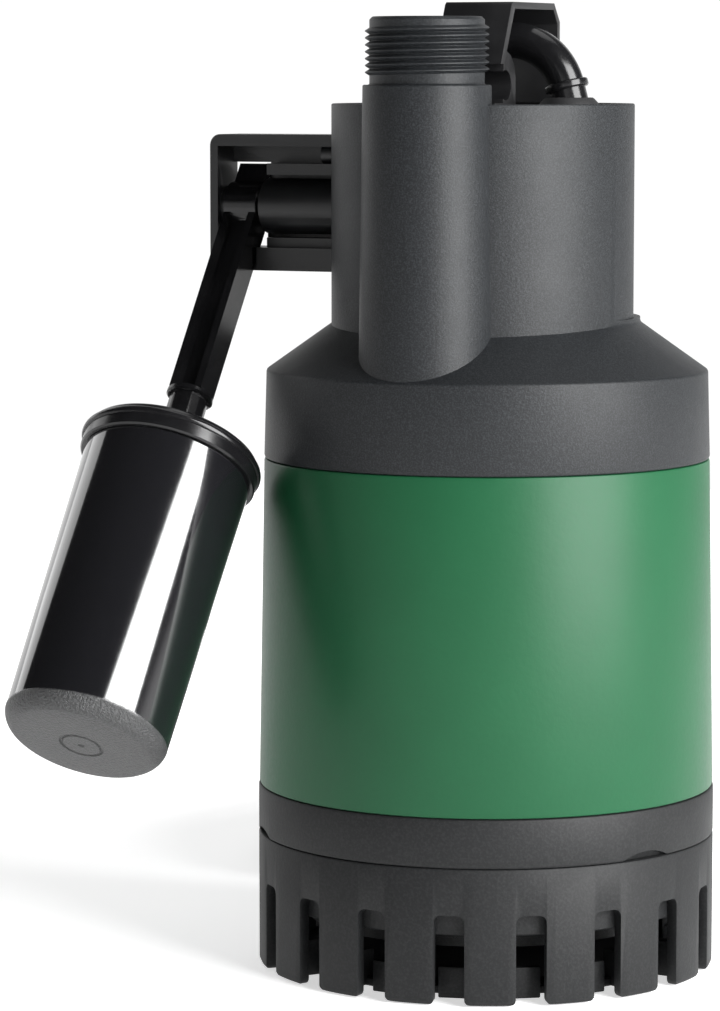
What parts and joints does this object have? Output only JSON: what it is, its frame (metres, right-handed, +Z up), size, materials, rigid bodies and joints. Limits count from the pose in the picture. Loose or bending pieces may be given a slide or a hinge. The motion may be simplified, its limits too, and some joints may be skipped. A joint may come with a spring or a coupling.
{
  "type": "submersible sump pump",
  "caption": "Submersible drainage pump with a slotted base, a threaded upright outlet, a strap handle and a float on a hinged rigid arm.",
  "frame": {"origin": "centre of the strainer's foot, on the surface that the pump stands on", "axes": "+Z up along the motor's shaft, -Y towards the outlet (front), -X towards the float bracket"},
  "size_m": [0.239, 0.4183, 0.338],
  "materials": {
    "cap_plastic": "spark-grained moulding, satin",
    "green_plastic": "satin with fine mottling",
    "base_plastic": "matte moulding",
    "handle_plastic": "satin",
    "bracket_plastic": "smooth satin",
    "gloss_black": "gloss",
    "cable_rubber": "smooth rubber",
    "seal_rubber": "matte rubber",
    "inner_plastic": "matte",
    "pale_plastic": "matte",
    "stainless": "drawn stainless",
    "bolt_steel": "zinc plated",
    "cast_aluminium": "as cast",
    "lamination_steel": "lacquered laminations",
    "copper": "enamelled copper wire",
    "brass": "machined",
    "ceramic": "ground seal face"
  },
  "bodies": {
    "pump": {"cap": "cap_plastic", "handle": "handle_plastic", "handle_screws": "bolt_steel", "cable_gland": "seal_rubber", "cable_boot": "gloss_black", "cord_tube": "cable_rubber", "cord_coil": "cable_rubber", "coil_tie": "seal_rubber", "plug_body": "cable_rubber", "plug_pins": "brass", "float_bracket": "bracket_plastic", "bracket_screws": "bolt_steel", "float_pin": "stainless", "reed_switch": "pale_plastic", "jacket": "green_plastic", "jacket_top_seal": "seal_rubber", "jacket_bottom_seal": "seal_rubber", "intake_ring": "base_plastic", "suction_plate": "base_plastic", "diffuser": "inner_plastic", "strainer": "base_plastic", "motor_can": "stainless", "can_o_ring": "seal_rubber", "upper_bracket": "cast_aluminium", "lower_flange": "cast_aluminium", "bearing_carrier": "cast_aluminium", "stator_core": "lamination_steel", "stator_winding": "copper", "thermal_cutout": "pale_plastic", "upper_bearing": "stainless", "lower_bearing": "stainless", "seal_seat": "ceramic", "lip_seal": "seal_rubber", "tie_bolts": "bolt_steel", "capacitor": "pale_plastic", "terminal_block": "pale_plastic"},
    "float": {"float_arm": "gloss_black", "arm_magnet": "bolt_steel", "float_lid": "gloss_black", "float_body": "gloss_black"},
    "rotor": {"rotor_core": "lamination_steel", "rotor_end_rings": "cast_aluminium", "shaft": "stainless", "seal_ring": "stainless", "impeller": "inner_plastic", "impeller_washer": "stainless", "impeller_nut": "brass"}
  },
  "joints": [
    {"name": "float_hinge", "type": "hinge", "parent": "pump", "child": "float", "pos_m": [-0.0925, 0, 0.2662], "axis": [-1, 0, 0], "range_deg": [0, 65]},
    {"name": "rotor_spin", "type": "hinge", "parent": "pump", "child": "rotor", "pos_m": [0, 0, 0.12], "axis": [0, 0, 1], "continuous": true}
  ]
}
